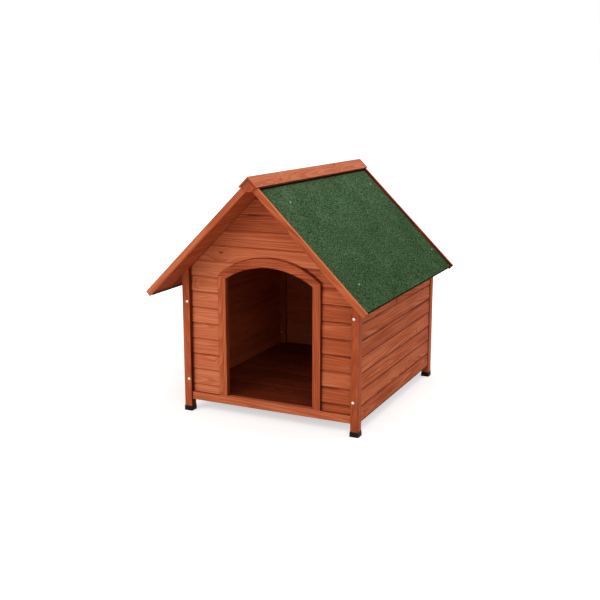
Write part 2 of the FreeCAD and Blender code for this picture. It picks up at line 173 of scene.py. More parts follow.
# ---------------------------------------------------------------- corner posts
# Four square posts of planed softwood, stained red-brown and left satin.  Their
# heads are sawn to the roof; the end walls' boards are housed in a side groove.
class Sums:
    """Short ways to add arithmetic nodes to one tree."""

    def __init__(self, tree):
        self.nodes, self.links = tree.nodes, tree.links

    def feed(self, socket, value):
        if isinstance(value, bpy.types.NodeSocket):
            self.links.new(value, socket)
        else:
            socket.default_value = value

    def math(self, operation, *values):
        node = self.nodes.new("ShaderNodeMath")
        node.operation = operation
        for socket, value in zip(node.inputs, values):
            self.feed(socket, value)
        return node.outputs[0]

    def add(self, first, *others):
        for other in others:
            first = self.math("ADD", first, other)
        return first

    def minus(self, first, second):
        return self.math("SUBTRACT", first, second)

    def times(self, first, second):
        return self.math("MULTIPLY", first, second)

    def vector(self, operation, *values):
        node = self.nodes.new("ShaderNodeVectorMath")
        node.operation = operation
        for socket, value in zip(node.inputs, values):
            self.feed(socket, value)
        return node.outputs["Value" if operation in ("DOT_PRODUCT", "LENGTH") else 0]

    def split(self, vector):
        node = self.nodes.new("ShaderNodeSeparateXYZ")
        self.feed(node.inputs[0], vector)
        return node.outputs

    def join(self, x, y, z):
        node = self.nodes.new("ShaderNodeCombineXYZ")
        for socket, value in zip(node.inputs, (x, y, z)):
            self.feed(socket, value)
        return node.outputs[0]

    def ease(self, value, low, high, to_low=0.0, to_high=1.0):
        """A smooth step from to_low to to_high, as value goes from low to high."""
        node = self.nodes.new("ShaderNodeMapRange")
        node.interpolation_type = "SMOOTHSTEP"
        for socket, part in zip(node.inputs, (value, low, high, to_low, to_high)):
            self.feed(socket, part)
        return node.outputs[0]

    def cloud(self, vector, shift, scale, detail, roughness=0.5):
        """Four-dimensional noise around 0, so that each board has its own."""
        node = self.nodes.new("ShaderNodeTexNoise")
        node.noise_dimensions = "4D"
        self.feed(node.inputs["Vector"], vector)
        self.feed(node.inputs["W"], shift)
        node.inputs["Scale"].default_value = scale
        node.inputs["Detail"].default_value = detail
        node.inputs["Roughness"].default_value = roughness
        return self.minus(node.outputs["Fac"], 0.5)

    def ramp(self, value, stops):
        """Colours by value; stops are (value, colour)."""
        node = self.nodes.new("ShaderNodeValToRGB")
        while len(node.color_ramp.elements) < len(stops):
            node.color_ramp.elements.new(0.5)
        for element, (place, colour) in zip(node.color_ramp.elements, stops):
            element.position = place
            element.color = (*colour, 1)
        self.feed(node.inputs[0], value)
        return node.outputs[0]

    def bump(self, height, strength, distance, normal=None):
        """A normal roughened by a height."""
        node = self.nodes.new("ShaderNodeBump")
        node.inputs["Strength"].default_value = strength
        node.inputs["Distance"].default_value = distance
        self.links.new(height, node.inputs["Height"])
        if normal is not None:
            self.links.new(normal, node.inputs["Normal"])
        return node.outputs[0]

    def use(self, group, values=()):
        """Places a group; values are (input, what it is fed)."""
        node = self.nodes.new("ShaderNodeGroup")
        node.node_tree = group
        for label, value in values:
            self.feed(node.inputs[label], value)
        return node.outputs


def node_group(name, inputs, outputs):
    """An empty shader group: its tree, its Sums, what it is given and what it makes.

    Inputs are (name, kind, value), outputs (name, kind).
    """
    group = bpy.data.node_groups.new(name, "ShaderNodeTree")
    for label, kind, value in inputs:
        socket = group.interface.new_socket(
            label, in_out="INPUT", socket_type="NodeSocket" + kind
        )
        if value is not None:
            socket.default_value = value
    for label, kind in outputs:
        group.interface.new_socket(
            label, in_out="OUTPUT", socket_type="NodeSocket" + kind
        )
    given = group.nodes.new("NodeGroupInput").outputs
    made = group.nodes.new("NodeGroupOutput").inputs
    return group, Sums(group), given, made


def screen_colour(red, green, blue):
    """A colour as a screen shows it, 0 to 255, as the light it stands for."""
    return tuple(
        c / 12.92 if c <= 0.04045 else ((c + 0.055) / 1.055) ** 2.4
        for c in (red / 255, green / 255, blue / 255)
    )


# Where a point lies in its own stick: along, across and through it, in metres.
# Sticks that come in mirrored pairs are folded on each other and told apart.
CORNER_STEP = 37.0
place_in_stock, s, given, made = node_group(
    "place_in_stock",
    [
        ("Position", "Vector", None),
        ("Fold", "Vector", (0, 0, 0)),
        ("Middle", "Vector", (0, 0, 0)),
        ("Length Way", "Vector", (1, 0, 0)),
        ("Width Way", "Vector", (0, 1, 0)),
        ("Depth Way", "Vector", (0, 0, 1)),
        ("Cover", "Float", 100.0),
        ("Piece", "Float", 0.0),
    ],
    [("Stock", "Vector"), ("Board", "Float")],
)
centred = s.vector("SUBTRACT", given["Position"], tuple(HOUSE_MIDDLE))
folded = s.vector("MULTIPLY", s.vector("ABSOLUTE", centred), given["Fold"])
not_folded = s.vector("SUBTRACT", (1, 1, 1), given["Fold"])
unfolded = s.vector("MULTIPLY", centred, not_folded)
placed = s.vector("SUBTRACT", s.vector("ADD", folded, unfolded), given["Middle"])
fold_x, fold_y = s.split(given["Fold"])[:2]
x, y = s.split(centred)[:2]
corner = s.add(
    s.times(s.math("GREATER_THAN", x, 0.0), fold_x),
    s.times(s.math("GREATER_THAN", y, 0.0), s.times(fold_y, 2.0)),
)
along = s.vector("DOT_PRODUCT", placed, given["Length Way"])
across = s.vector("DOT_PRODUCT", placed, given["Width Way"])
through = s.vector("DOT_PRODUCT", placed, given["Depth Way"])
courses = s.add(s.math("DIVIDE", across, given["Cover"]), 0.5)
course = s.math("FLOOR", courses)
within = s.times(s.minus(s.minus(courses, course), 0.5), given["Cover"])
board = s.add(course, s.times(corner, CORNER_STEP), given["Piece"])
s.links.new(s.join(along, within, through), made["Stock"])
s.links.new(board, made["Board"])

# The figure of slow-grown fir: rings round a pith that lies off the stick, bent
# by a slow wander and by the odd small knot, and crossed by fine fibres.
# Rings and pith are in metres and parts of a ring, and a knot's rims are in parts
# of its cell, of which KNOTS_ALONG and KNOTS_ACROSS go to the metre.
RING_SPACING = 0.0042
EARLY_WOOD, LATE_WOOD, RING_EDGE = 0.15, 0.86, 0.90
PITH_SPREAD, PITH_DEPTH, PITH_LEAST, PITH_LEAN = 0.075, 0.045, 0.012, 0.09
QUIVER, SWIRL_PUSH = 0.0022, 0.013
KNOTS_ALONG, KNOTS_ACROSS = 3.6, 7.0
KNOT_RIM, KNOT_HEART, SWIRL_RIM = 0.046, 0.018, 0.30
BOARD_STEP, KNOT_STEP_ALONG, KNOT_STEP_ACROSS = 3.71, 17.3, 5.1

softwood_figure, s, given, made = node_group(
    "softwood_figure",
    [
        ("Stock", "Vector", None),
        ("Board", "Float", 0.0),
        ("Ring Spacing", "Float", RING_SPACING),
        ("Wander", "Float", 0.016),
        ("Knots", "Float", 0.24),
    ],
    [(mark, "Float") for mark in ("Rings", "Fibre", "Streak", "Cloudy", "Tone", "Knot")],
)
stock, number = given["Stock"], given["Board"]
along, across, through = s.split(stock)
dice = s.nodes.new("ShaderNodeTexWhiteNoise")
dice.noise_dimensions = "1D"
s.links.new(number, dice.inputs["W"])
red, green, blue = s.split(dice.outputs["Color"])
shift = s.times(number, BOARD_STEP)
noises = {}
for mark, per_metre, detail, roughness in (
    ("slow", (1.7, 16.0, 16.0), 2.0, 0.5),
    ("quick", (7.0, 60.0, 60.0), 2.0, 0.5),
    ("fibre", (16.0, 620.0, 620.0), 3.0, 0.6),
    ("cloudy", (5.0, 24.0, 24.0), 3.0, 0.55),
    ("streak", (4.0, 170.0, 170.0), 2.0, 0.55),
):
    drawn_out = s.vector("MULTIPLY", stock, per_metre)
    noises[mark] = s.cloud(drawn_out, shift, 1.0, detail, roughness)

cells = s.nodes.new("ShaderNodeTexVoronoi")
cells.voronoi_dimensions = "2D"
cells.inputs["Scale"].default_value = 1.0
cells.inputs["Randomness"].default_value = 0.85
cell_along = s.add(s.times(along, KNOTS_ALONG), s.times(number, KNOT_STEP_ALONG))
cell_across = s.add(s.times(across, KNOTS_ACROSS), s.times(number, KNOT_STEP_ACROSS))
s.links.new(s.join(cell_along, cell_across, 0.0), cells.inputs["Vector"])
has_knot = s.math("LESS_THAN", s.split(cells.outputs["Color"])[0], given["Knots"])
near = cells.outputs["Distance"]
knot = s.times(s.ease(near, KNOT_RIM, KNOT_HEART), has_knot)
swirl = s.times(s.ease(near, SWIRL_RIM, 0.0), has_knot)

pith_across = s.times(s.minus(red, 0.5), PITH_SPREAD)
pith_through = s.add(s.times(green, PITH_DEPTH), PITH_LEAST)
lean = s.times(along, s.times(s.minus(blue, 0.5), PITH_LEAN))
wander = s.times(noises["slow"], given["Wander"])
off_across = s.add(s.minus(across, pith_across), wander)
off_through = s.add(through, pith_through, lean)
radius = s.math(
    "SQRT", s.add(s.times(off_across, off_across), s.times(off_through, off_through))
)
radius = s.add(
    radius, wander, s.times(noises["quick"], QUIVER), s.times(swirl, SWIRL_PUSH)
)
year = s.math("FRACT", s.math("DIVIDE", radius, given["Ring Spacing"]))
late = s.times(s.ease(year, EARLY_WOOD, LATE_WOOD), s.ease(year, 1.0, RING_EDGE))
for label, mark in (
    ("Rings", late), ("Fibre", noises["fibre"]), ("Streak", noises["streak"]),
    ("Cloudy", noises["cloudy"]), ("Tone", s.minus(red, 0.5)), ("Knot", knot),
):
    s.links.new(mark, made[label])

# Sawn arrises are sanded off by a millimetre; they are paler, for stain worn thin and as a
# painted highlight.
sanded_arris, s, given, made = node_group(
    "sanded_arris",
    [("Radius", "Float", 0.0012), ("Pale Arris Width", "Float", 0.0022)],
    [("Normal", "Vector"), ("Arris", "Float")],
)
bevels = []
for width in ("Radius", "Pale Arris Width"):
    bevel = s.nodes.new("ShaderNodeBevel")
    bevel.samples = 4
    s.links.new(given[width], bevel.inputs["Radius"])
    bevels.append(bevel.outputs[0])
surface = s.nodes.new("ShaderNodeNewGeometry").outputs["Normal"]
bent = s.minus(1.0, s.vector("DOT_PRODUCT", bevels[1], surface))
s.links.new(bevels[0], made["Normal"])
s.links.new(s.ease(bent, 0.01, 0.20), made["Arris"])

# Red-brown stain: thin over early wood, dense in the late wood and the knots.
red_brown_stain, s, given, made = node_group(
    "red_brown_stain", [("Density", "Float", 0.4)], [("Colour", "Color")]
)
stain = s.ramp(
    given["Density"],
    [
        (0.00, screen_colour(226, 142, 92)),
        (0.25, screen_colour(210, 121, 82)),
        (0.50, screen_colour(181, 89, 52)),
        (0.75, screen_colour(137, 56, 30)),
        (1.00, screen_colour(70, 27, 15)),
    ],
)
s.links.new(stain, made["Colour"])


def new_finish(name):
    """A material, its Sums, its shader, and where its points are on the object."""
    material = bpy.data.materials.new(name)
    material.use_nodes = True
    s = Sums(material.node_tree)
    where = s.nodes.new("ShaderNodeTexCoord").outputs["Object"]
    return material, s, s.nodes["Principled BSDF"], where


# How much more or less stain each of these holds, of a full coat of 1.
MARK_SHARES = (
    ("Fibre", 0.26), ("Streak", 0.46), ("Cloudy", 0.26), ("Tone", 0.16), ("Knot", 0.36),
)
# Arrises are paler, for worn stain and as a painted highlight.
ARRIS_WORN_AND_HIGHLIT, WEATHER_SIDE_PALER, END_GRAIN_DARKER = 0.10, 0.06, 0.24
# A board's face ends BOARD_SKIN behind it, and the painted shade under a lap ends
# LAP_EDGE below the next board's butt.  The painted arch shadow ends at this part of its
# radius above its centre.
BOARD_SKIN, LAP_EDGE, ARCH_ENDS = 0.003, 0.0015, 0.76
SHADOW_WIDENS_FROM, SHADOW_WIDENS_TO, SHADOW_LEAST, SHADOW_MOST = -0.08, 0.12, 0.6, 1.7
# Late wood is glossier, and clouds and arrises are duller.
RINGS_GLOSSIER, CLOUDS_DULLER, ARRIS_DULLER = 0.07, 0.16, 0.08
FIBRE_RELIEF, KNOT_RELIEF, RELIEF_STRENGTH, RELIEF_HEIGHT = 1.4, 0.8, 0.55, 0.00016


def stained_timber(
    name, length, width, depth, middle=(0, 0, 0), fold=(0, 0, 0), cover=100.0, piece=0.0,
    density=0.46, rings=0.14, knots=0.24, roughness=0.55, lapped=False,
    lap_shade=(0.0095, 0.28), contrast=1.0, gloss=0.06, end_grain=None, shade_and_highlight=(),
    arch_shadow=None, wander=0.016, inner_side_shade=-0.03,
):
    """Stained softwood whose grain follows one kind of stick.

    The three ways and the middle are those of the stick, in metres from the
    middle of the four posts; cover is the pitch of boards laid side by side,
    piece the number that its figure starts from, and density how dark the
    stain is.  A lapped board has the width and darkness of a painted shade
    under the next board's butt, and an inner side with its own stain, a
    painted shade inside the house.  A cut end that looks the end_grain way
    drinks more.  Each entry of the shade and highlight bands is the darkening
    added, painted shade, or painted highlight where it is below 0, then the
    bands that it is kept to: a way, and the least and most place along it,
    folded about the house's middle.  The arch shadow is the height, radius,
    width and darkness of a painted shadow that the trim casts round the arch,
    wider to the right.
    """
    material, s, shine, where = new_finish(name)
    stock, board = s.use(place_in_stock, (
        ("Position", where), ("Fold", fold), ("Middle", middle), ("Length Way", length),
        ("Width Way", width), ("Depth Way", depth), ("Cover", cover), ("Piece", piece),
    ))
    marks = s.use(softwood_figure, (
        ("Stock", stock), ("Board", board), ("Wander", wander), ("Knots", knots),
    ))
    normal, arris = s.use(sanded_arris)

    figure = s.times(marks["Rings"], -rings * contrast)
    for mark, share in MARK_SHARES:
        figure = s.add(figure, s.times(marks[mark], share * contrast))
    amount = s.minus(density, s.times(arris, ARRIS_WORN_AND_HIGHLIT))
    if lapped:
        # Where a board runs up under the butt of the next it is darkened: a painted
        # shade.  The inner side takes its own stain, a painted shade inside the house.
        across, through = s.split(stock)[1:]
        shade_under_lap = s.ease(across, cover / 2 - lap_shade[0], cover / 2 - LAP_EDGE)
        shade_under_lap = s.times(shade_under_lap, s.ease(through, -BOARD_SKIN, 0.0))
        side = s.ease(through, -BOARD_SKIN, 0.0, inner_side_shade, -WEATHER_SIDE_PALER)
        amount = s.add(amount, s.times(shade_under_lap, lap_shade[1]), side)
        figure = s.times(figure, s.ease(through, -BOARD_SKIN, 0.0, 0.5, 1.0))
    amount = s.add(amount, figure)
    if end_grain:
        facing = s.nodes.new("ShaderNodeNewGeometry").outputs["Normal"]
        towards_end = s.vector("DOT_PRODUCT", s.vector("ABSOLUTE", facing), end_grain)
        amount = s.add(amount, s.times(s.ease(towards_end, 0.80, 0.95), END_GRAIN_DARKER))
    from_middle = s.vector("SUBTRACT", where, tuple(HOUSE_MIDDLE))
    folded = s.vector("ABSOLUTE", from_middle)
    # Each band darkens the stain as painted shade, or pales it as a painted highlight where
    # below 0.
    for more, *bands in shade_and_highlight:
        for way, least, most in bands:
            spot = s.vector("DOT_PRODUCT", folded, way)
            more = s.times(s.math("GREATER_THAN", spot, least), more)
            more = s.times(s.math("LESS_THAN", spot, most), more)
        amount = s.add(amount, more)
    # A painted shadow that the arch trim casts on the boards, wider to the right.
    if arch_shadow:
        height, radius, width, more = arch_shadow
        spoke = s.vector("SUBTRACT", folded, (0, 0, height))
        reach = s.vector("LENGTH", s.vector("MULTIPLY", spoke, (1, 0, 1)))
        above = s.math("GREATER_THAN", s.split(spoke)[2], radius * ARCH_ENDS)
        sideways = s.split(from_middle)[0]
        outer = s.ease(
            sideways, SHADOW_WIDENS_FROM, SHADOW_WIDENS_TO,
            radius + width * SHADOW_LEAST, radius + width * SHADOW_MOST,
        )
        in_arch_shadow = s.times(s.ease(reach, outer, radius), above)
        amount = s.add(amount, s.times(in_arch_shadow, more))
    colour = s.use(red_brown_stain, (("Density", amount),))["Colour"]
    s.links.new(colour, shine.inputs["Base Color"])

    shine.inputs["Specular IOR Level"].default_value = gloss
    satin = s.add(
        s.times(marks["Rings"], -RINGS_GLOSSIER), roughness,
        s.times(marks["Cloudy"], CLOUDS_DULLER), s.times(arris, ARRIS_DULLER),
    )
    s.links.new(satin, shine.inputs["Roughness"])
    relief = s.add(marks["Rings"], s.times(marks["Fibre"], FIBRE_RELIEF))
    relief = s.minus(relief, s.times(marks["Knot"], KNOT_RELIEF))
    rough = s.bump(relief, RELIEF_STRENGTH, RELIEF_HEIGHT, normal)
    s.links.new(rough, shine.inputs["Normal"])
    return material


def finish_nodes(material, *names):
    """Gives carried-over timbers their material."""
    for name in names:
        timber[name].data.materials.clear()
        timber[name].data.materials.append(material)


CORNERS = ("front_right", "front_left", "rear_right", "rear_left")
LENGTHWISE, DEEPWISE, UPWARDS = (1, 0, 0), (0, 1, 0), (0, 0, 1)
POST_CENTRE = (0.3705, 0.440, 0.3)
# The sides of a post that face the doorway and the middle of the house.
POST_SIDE, POST_INNER = 0.354, 0.4235

# The post's side towards the doorway is darkened: painted shade in the corner by the
# boards.
post_stain = stained_timber(
    "post_stain", UPWARDS, LENGTHWISE, DEEPWISE,
    middle=POST_CENTRE, fold=(1, 1, 0), piece=11.0, density=0.60, rings=0.07, knots=0.06,
    wander=0.004, gloss=0.04,
    shade_and_highlight=[(0.40, (LENGTHWISE, POST_SIDE - 0.0005, POST_SIDE + 0.0003))],
)
finish_nodes(post_stain, *["post_" + corner for corner in CORNERS])


# ------------------------------------------------------------------- foot caps
# A push-on foot of black moulded plastic under each post: a square cup with a
# thicker base, its corners and rims rounded by the mould.
FOOT_ROUND = 0.0006
# Dust lies on the base, and the rim is paler, dust and a painted reflection: from a height,
# to a height, from and to so much.
BASE_DUST, RIM_DUST_AND_SHEEN = (0.004, 0.0, 0.0, 0.3), (0.017, 0.023, 0.0, 0.7)
SCUFF_DUST, SCUFF_SHARE = (0.06, 0.24), 0.2

foot_plastic, s, shine, where = new_finish("foot_plastic")
scuffs = s.cloud(where, 0.0, 160.0, 4.0, 0.6)
pebbles = s.cloud(where, 4.0, 2200.0, 2.0)
height = s.add(s.split(where)[2], s.times(scuffs, 0.010))
tint = s.add(
    s.ease(height, *BASE_DUST), s.ease(height, *RIM_DUST_AND_SHEEN),
    s.times(s.ease(scuffs, *SCUFF_DUST), SCUFF_SHARE),
)
moulded = s.ramp(tint, [(0.0, screen_colour(17, 13, 10)), (1.0, screen_colour(92, 70, 53))])
s.links.new(moulded, shine.inputs["Base Color"])
s.links.new(s.add(s.times(scuffs, 0.35), 0.50), shine.inputs["Roughness"])
shine.inputs["Specular IOR Level"].default_value = 0.1
s.links.new(s.bump(s.add(pebbles, scuffs), 0.5, 0.00008), shine.inputs["Normal"])


def rounded_copy(name, node, radius):
    """The node's shape as one skin, its sharp edges rounded."""
    shell = bmesh.new()
    shell.from_mesh(timber[node].data)
    bmesh.ops.remove_doubles(shell, verts=shell.verts, dist=1e-6)
    bmesh.ops.dissolve_limit(
        shell, angle_limit=math.radians(1.0), verts=shell.verts, edges=shell.edges
    )
    sharp = [
        e for e in shell.edges
        if len(e.link_faces) == 2 and e.calc_face_angle() > math.radians(35)
    ]
    bmesh.ops.bevel(
        shell, geom=sharp, offset=radius, segments=2, affect="EDGES", profile=0.5,
        clamp_overlap=True,
    )
    mesh = bpy.data.meshes.new(name)
    shell.to_mesh(mesh)
    shell.free()
    mesh.shade_smooth()
    mesh.set_sharp_from_angle(angle=math.radians(30))
    piece = bpy.data.objects.new(name, mesh)
    bpy.context.scene.collection.objects.link(piece)
    return piece


for corner in CORNERS:
    foot = rounded_copy("foot_" + corner, "foot_cap_" + corner, FOOT_ROUND)
    foot.data.materials.append(foot_plastic)
    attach(foot, "root")
    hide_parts("foot_cap_" + corner)


# ---------------------------------------------------------------- bottom rails
# A rail lies between the posts at the front and at the back, grooved along its
# top edge for the lowest boards.  The front one is the sill of the doorway.
RAIL_FOOT, RAIL_HEAD = 0.049, 0.083
JAMB_INNER, JAMB_OUTER, JAMB_HEAD = 0.190, 0.224, 0.583

rail_stain = stained_timber(
    "rail_stain", LENGTHWISE, UPWARDS, DEEPWISE,
    middle=(0, 0.436, 0.066), fold=(0, 1, 0), piece=21.0, density=0.50, knots=0.1,
    # Its lower edge and its top beside the boards are darkened: painted shade under it and
    # under the boards.
    shade_and_highlight=[
        (0.40, (UPWARDS, RAIL_FOOT - 0.009, RAIL_FOOT + 0.0013)),
        (
            0.34, (UPWARDS, RAIL_HEAD - 0.0016, RAIL_HEAD + 0.001),
            (LENGTHWISE, JAMB_OUTER + 0.0005, POST_SIDE + 0.006),
        ),
    ],
)
finish_nodes(rail_stain, "front_bottom_rail", "rear_bottom_rail")


# --------------------------------------------------------- cleats and ledgers
# Upright cleats inside the corners take the side boards' nails and the bolts.
# Two ledgers and a middle bearer carry the floor.  All are stained but duller.
cleat_stain = stained_timber(
    "cleat_stain", UPWARDS, LENGTHWISE, DEEPWISE,
    middle=(0.3605, 0.4135, 0.3), fold=(1, 1, 0), piece=31.0, density=0.62, knots=0.3,
    roughness=0.52,
)
finish_nodes(cleat_stain, *["side_cleat_" + corner for corner in CORNERS])
ledger_stain = stained_timber(
    "ledger_stain", DEEPWISE, LENGTHWISE, UPWARDS,
    middle=(0.3605, 0, 0.062), fold=(1, 0, 0), piece=36.0, density=0.70, roughness=0.52,
)
finish_nodes(ledger_stain, "floor_ledger_left", "floor_ledger_right")
bearer_stain = stained_timber(
    "bearer_stain", DEEPWISE, LENGTHWISE, UPWARDS,
    middle=(0, 0, 0.060), piece=39.0, density=0.70, roughness=0.52,
)
finish_nodes(bearer_stain, "floor_bearer")


# ---------------------------------------------------------------- floor boards
# Nine boards laid side to side on the ledgers and the bearer, notched round the
# cleats.  Their stain is set dark and even.
FLOOR_COUNT = 9
FLOOR_BOARD, FLOOR_FRONT, FLOOR_TOP = 0.094, -0.3715, 0.083

floor_stain = stained_timber(
    "floor_stain", LENGTHWISE, DEEPWISE, UPWARDS,
    middle=(0, 0, 0.077), cover=FLOOR_BOARD, piece=51.0, density=0.93, roughness=0.5,
    contrast=0.55,
)
finish_nodes(floor_stain, "floor_boards")


# ------------------------------------------------------------------ side walls
# Eight lap boards a side, 65 mm to the weather, nailed to the cleats.  Each
# overlaps the one below, with a painted shade as a dark line under its butt.
COURSES, COVER = 8, 0.065
WALL_FOOT = 0.0525
LAP_MIDDLE = WALL_FOOT + COVER / 2 - 0.0003

# The side wall's stain is darker than the end walls' only as painted shade on this side.
side_stain = stained_timber(
    "side_stain", DEEPWISE, UPWARDS, LENGTHWISE,
    middle=(0.379, 0, LAP_MIDDLE), fold=(1, 0, 0), cover=COVER, piece=61.0,
    density=0.635, lapped=True, lap_shade=(0.014, 0.36), contrast=1.1, gloss=0.03,
    roughness=0.62,
    # Dark bands where the boards meet the posts and along the lowest board's foot are
    # painted shade.
    shade_and_highlight=[
        (0.50, (DEEPWISE, POST_INNER - 0.006, POST_INNER + 0.0065)),
        (0.65, (UPWARDS, WALL_FOOT - 0.0025, WALL_FOOT + 0.0047)),
    ],
)
finish_nodes(
    side_stain, "side_boards_left",
    *["side_board_right_%02d" % (course + 1) for course in range(COURSES)],
)


# ------------------------------------------------------------------- end walls
# The same boards run across the front and the back, up into the gables.  The
# front ones are cut round the door trim and housed in it.
ARCH_CENTRE, ARCH_RADIUS = 0.3181, 0.3470
# The painted shadow round the arch: its centre height, radius, width and darkness.
SHADOW_OVER_ARCH = (ARCH_CENTRE, ARCH_RADIUS, 0.006, 0.52)
# Dark bands beside the posts and the door jambs are painted shade where these stand proud
# of the boards.
SHADE_BESIDE_POST = (0.34, (LENGTHWISE, POST_SIDE - 0.004, POST_SIDE + 0.016))
SHADE_BESIDE_JAMB = (
    0.30, (LENGTHWISE, JAMB_OUTER - 0.0005, JAMB_OUTER + 0.0035), (UPWARDS, 0.0, JAMB_HEAD)
)
NARROW_LAP_SHADE, STRONG_LAP_SHADE, SOFT_LAP_SHADE = (0.0095, 0.28), (0.0125, 0.40), (0.014, 0.28)

# The walls are one stain: boards left of the doorway are paler and those right of it
# darker, painted light falling from the left.
for wall, node, piece, density, lap_shade, by_door in (
    ("left_boards", "front_boards_left", 161.0, 0.45, NARROW_LAP_SHADE, True),
    ("right_boards", "front_boards_right", 523.0, 0.615, SOFT_LAP_SHADE, True),
    ("gable_boards", "gable_boards", 161.0, 0.56, NARROW_LAP_SHADE, True),
    ("rear_boards", "rear_boards", 733.0, 0.51, STRONG_LAP_SHADE, False),
):
    wall_stain = stained_timber(
        wall + "_stain", LENGTHWISE, UPWARDS, DEEPWISE,
        middle=(0, 0.433, LAP_MIDDLE), fold=(0, 1, 0), cover=COVER, piece=piece,
        density=density, knots=0.30, lapped=True, lap_shade=lap_shade,
        inner_side_shade=0.0 if by_door else -0.06,
        shade_and_highlight=[SHADE_BESIDE_POST, SHADE_BESIDE_JAMB] if by_door else [SHADE_BESIDE_POST],
        arch_shadow=SHADOW_OVER_ARCH if by_door else None,
    )
    finish_nodes(wall_stain, node)


# ------------------------------------------------------------------- door trim
# Two upright jambs stand on the sill and carry an arch that is sawn from one
# wide board, so its grain runs level while its edges curve.
# The right jamb is darker than the left only as painted shade; the light falls from the
# left.
for side, density in (("left", 0.55), ("right", 0.73)):
    jamb_stain = stained_timber(
        side + "_jamb_stain", UPWARDS, LENGTHWISE, DEEPWISE,
        middle=(0.207, 0.436, 0.3), fold=(1, 1, 0), piece=261.0, density=density,
        knots=0.06, wander=0.006,
        # Its faces by the opening and by the boards are darkened: painted shade in the
        # reveal and beside the trim.
        shade_and_highlight=[
            (0.26, (LENGTHWISE, JAMB_INNER - 0.0005, JAMB_INNER + 0.0003)),
            (0.30, (LENGTHWISE, JAMB_OUTER - 0.0003, JAMB_OUTER + 0.0005)),
        ],
    )
    finish_nodes(jamb_stain, "door_jamb_" + side)
arch_stain = stained_timber(
    "arch_stain", LENGTHWISE, UPWARDS, DEEPWISE,
    middle=(0, -0.436, 0.60), piece=271.0, density=0.71, knots=0.1, contrast=1.5,
)
finish_nodes(arch_stain, "door_arch")


# ------------------------------------------------------------------------ roof
# Rafters inside the gables carry two thin boarded panels.  Everything is set
# out down the slope and square to it, from where the two slopes would meet.
ROOF_PITCH = math.radians(44.5)
ROOF_APEX = 0.9835
WALL_FACE = 0.4375
VERGE_FACE, FRONT_VERGE_BACK, REAR_VERGE_BACK = 0.592, 0.580, 0.483
downhill = Vector((math.cos(ROOF_PITCH), 0, -math.sin(ROOF_PITCH)))
outward = Vector((math.sin(ROOF_PITCH), 0, math.cos(ROOF_PITCH)))


def on_roof(down, below, y):
    """A point so far down the right slope, below its plane and along it."""
    return Vector((0, y, ROOF_APEX)) + downhill * down - outward * below


rafter_stain = stained_timber(
    "rafter_stain", tuple(downhill), tuple(outward), DEEPWISE,
    middle=tuple(on_roof(0.25, 0.038, 0.416)), fold=(1, 1, 0), piece=301.0,
    density=0.52, roughness=0.52,
)
finish_nodes(rafter_stain, *["gable_rafter_" + corner for corner in CORNERS])

deck_stain = stained_timber(
    "deck_stain", DEEPWISE, tuple(downhill), tuple(outward),
    middle=tuple(on_roof(0.35, 0.0175, 0)), fold=(1, 0, 0), cover=0.152, piece=311.0,
    density=0.55, knots=0.2, roughness=0.75, gloss=0.02,
    # The underside is darkened by the verge and along the wall: painted shade in these
    # corners.
    shade_and_highlight=[
        (0.40, (DEEPWISE, FRONT_VERGE_BACK - 0.0035, FRONT_VERGE_BACK + 0.001)),
        (0.34, (DEEPWISE, WALL_FACE - 0.003, WALL_FACE + 0.003)),
    ],
)
finish_nodes(deck_stain, "roof_deck_left", "roof_deck_right")


# ------------------------------------------------------------------- roof felt
# Green mineral felt on each panel: a bitumen sheet faced with crushed slate,
# turned down over the eaves.  Its cut edges and its back are black bitumen.
GRAINS_PER_METRE = 760.0
PALE_FLECKS = 0.975
FELT_LENGTH, CAP_WIDTH = 0.62, 0.048
SHADE_AT_RIDGE, SHADE_AT_EAVES = 0.155, 0.065

roof_felt, s, shine, where = new_finish("mineral_felt")
grains = s.nodes.new("ShaderNodeTexVoronoi")
grains.inputs["Scale"].default_value = GRAINS_PER_METRE
s.links.new(where, grains.inputs["Vector"])
grain_dice, fleck_dice = s.split(grains.outputs["Color"])[:2]
from_middle = s.vector("ABSOLUTE", s.vector("SUBTRACT", where, tuple(HOUSE_MIDDLE)))
side_x, side_y, side_z = s.split(from_middle)
down_slope = s.minus(
    s.times(side_x, downhill.x), s.times(s.minus(side_z, ROOF_APEX), -downhill.z)
)
clumps = s.cloud(where, 0.0, 150.0, 2.0, 0.7)
drift = s.cloud(where, 9.0, 9.0, 3.0, 0.5)
fleck = s.times(
    s.math("GREATER_THAN", fleck_dice, PALE_FLECKS), s.ease(drift, 0.0, 0.16)
)
shade = s.add(
    s.times(grain_dice, 0.42), s.times(clumps, 1.7), s.times(drift, 0.25),
    s.ease(down_slope, 0.0, FELT_LENGTH, SHADE_AT_RIDGE, SHADE_AT_EAVES),
    s.times(fleck, 0.5),
)
mineral = s.ramp(
    shade,
    [
        (0.00, screen_colour(31, 46, 27)),
        (0.30, screen_colour(60, 85, 54)),
        (0.58, screen_colour(95, 121, 88)),
        (0.82, screen_colour(110, 137, 98)),
        (1.00, screen_colour(160, 174, 144)),
    ],
)
